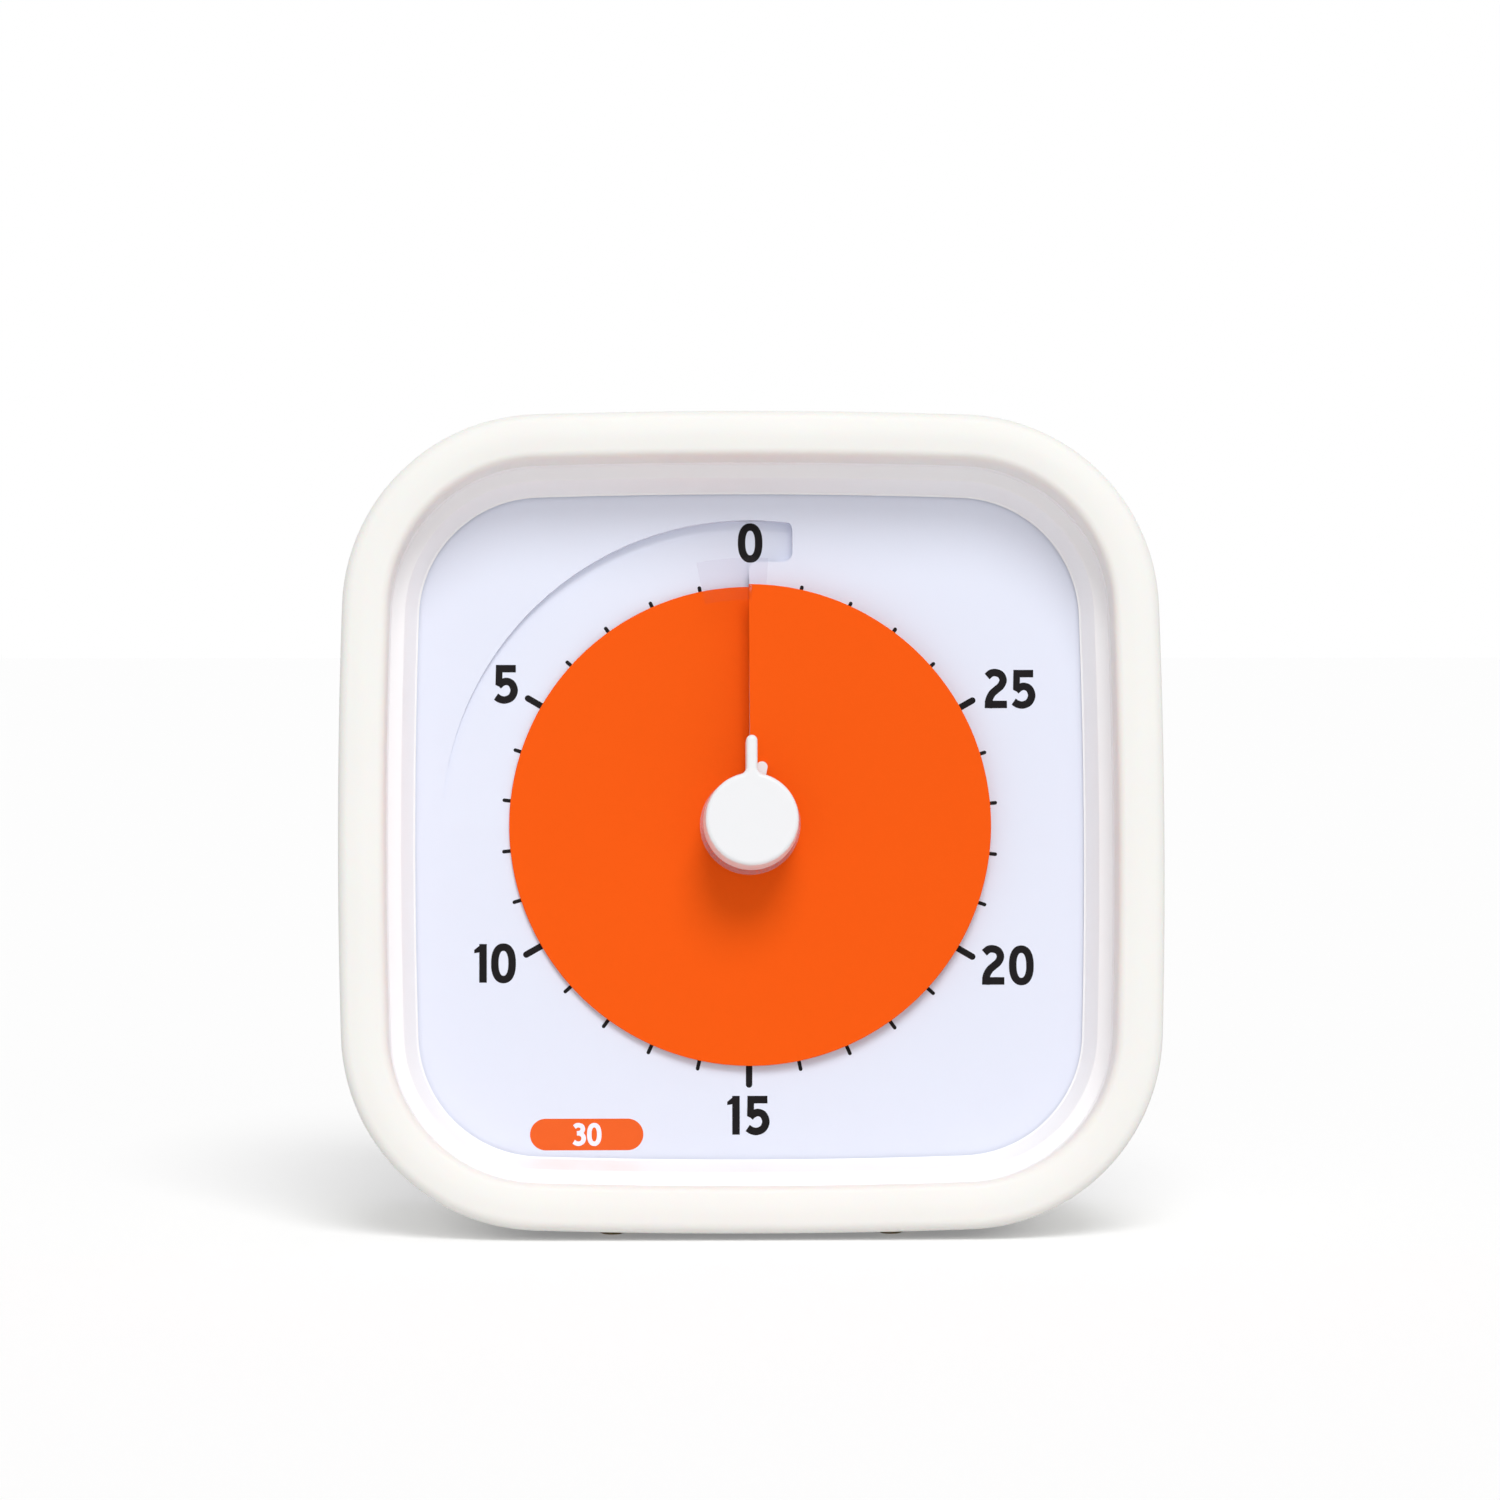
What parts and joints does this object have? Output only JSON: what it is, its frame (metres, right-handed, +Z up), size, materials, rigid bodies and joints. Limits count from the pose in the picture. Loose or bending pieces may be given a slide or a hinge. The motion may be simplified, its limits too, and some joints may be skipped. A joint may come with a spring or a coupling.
{
  "type": "visual countdown timer",
  "caption": "Square desk timer whose pointer knob winds an orange disc out of a slit in the dial; the disc shrinks away as the time runs down.",
  "frame": {"origin": "centre of the bounding box in plan, on the plane that the four feet stand on", "axes": "+Z up, dial faces -Y and leans back by 7 degrees, +X to the viewer's right"},
  "size_m": [0.089, 0.0524, 0.0889],
  "materials": {
    "white_silicone": "soft matt silicone",
    "white_abs": "satin moulded ABS",
    "dial_white": "fine satin",
    "orange_film": "fine-grain polypropylene film",
    "clear_film": "clear film",
    "clear_acetal": "clear moulded",
    "knob_white": "satin moulded ABS",
    "steel": "turned",
    "gear_acetal": "moulded acetal",
    "spring_brass": "stamped",
    "movement_abs": "moulded",
    "copper": "enamelled wire",
    "switch_black": "moulded",
    "cell_jacket": "plain printed sleeve",
    "nickel": "nickel plate",
    "board_green": "solder mask",
    "zinc_screw": "zinc plate",
    "tan_foot": "soft polyurethane",
    "wire_red": "PVC sleeve"
  },
  "bodies": {
    "case": {"silicone_sleeve": "white_silicone", "front_housing": "white_abs", "rear_housing": "white_abs", "dial_plate": "dial_white", "movement_case": "movement_abs", "movement_cover": "movement_abs", "spindle_bushing": "spring_brass", "motor_stator": "steel", "coil_bobbin": "gear_acetal", "coil_winding": "copper", "zero_switch": "switch_black", "battery_cell": "cell_jacket", "battery_plate_contact": "nickel", "battery_leaf_contact": "nickel", "circuit_board": "board_green", "control_chip": "switch_black", "quartz_crystal": "nickel", "switch_body": "switch_black", "buzzer": "spring_brass", "case_screws": "zinc_screw", "movement_screws": "zinc_screw", "board_screws": "zinc_screw", "dome_feet": "tan_foot", "lead_wires": "wire_red"},
    "knob": {"knob": "knob_white", "knob_spindle": "steel", "centre_wheel": "gear_acetal", "clutch_spring": "spring_brass", "spindle_clip": "steel", "zero_cam": "gear_acetal"},
    "disc": {"time_disc": "orange_film", "leading_edge_tab": "clear_film", "disc_hub": "knob_white", "hub_washer": "clear_acetal"},
    "third_wheel": {"third_wheel": "gear_acetal"},
    "fourth_wheel": {"fourth_wheel": "gear_acetal"},
    "motor_rotor": {"motor_rotor": "gear_acetal"},
    "battery_door": {"battery_door": "white_abs"},
    "volume_slider": {"volume_slider": "knob_white"}
  },
  "joints": [
    {"name": "knob_turn", "type": "hinge", "parent": "case", "child": "knob", "pos_m": [0, -0.01153, 0.04383], "axis": [0, 0.9925, -0.1219], "range_deg": [0, 360]},
    {"name": "disc_feed", "type": "slide", "parent": "knob", "child": "disc", "axis": [0, 0.9925, -0.1219], "range_m": [0, 0.0028]},
    {"name": "third_turn", "type": "hinge", "parent": "case", "child": "third_wheel", "pos_m": [-0.01111, -0.00146, 0.05198], "axis": [0, 0.9925, -0.1219], "range_deg": [-1800, 0]},
    {"name": "fourth_turn", "type": "hinge", "parent": "case", "child": "fourth_wheel", "pos_m": [-0.00375, -0.00094, 0.0562], "axis": [0, 0.9925, -0.1219], "range_deg": [0, 4500]},
    {"name": "rotor_turn", "type": "hinge", "parent": "case", "child": "motor_rotor", "pos_m": [0.00355, -0.00094, 0.0562], "axis": [0, 0.9925, -0.1219], "range_deg": [-9000, 0]},
    {"name": "door_swing", "type": "hinge", "parent": "case", "child": "battery_door", "pos_m": [0, 0.01886, 0.01728], "axis": [-1, 0, 0], "range_deg": [0, 80]},
    {"name": "volume_slide", "type": "slide", "parent": "case", "child": "volume_slider", "axis": [1, 0, 0], "range_m": [0, 0.004]}
  ],
  "couplings": [
    {"joint": "disc_feed", "follows": "knob_turn", "m_per_rad": 0.00044563},
    {"joint": "third_turn", "follows": "knob_turn", "ratio": -5},
    {"joint": "fourth_turn", "follows": "knob_turn", "ratio": 12.5},
    {"joint": "rotor_turn", "follows": "knob_turn", "ratio": -25}
  ]
}
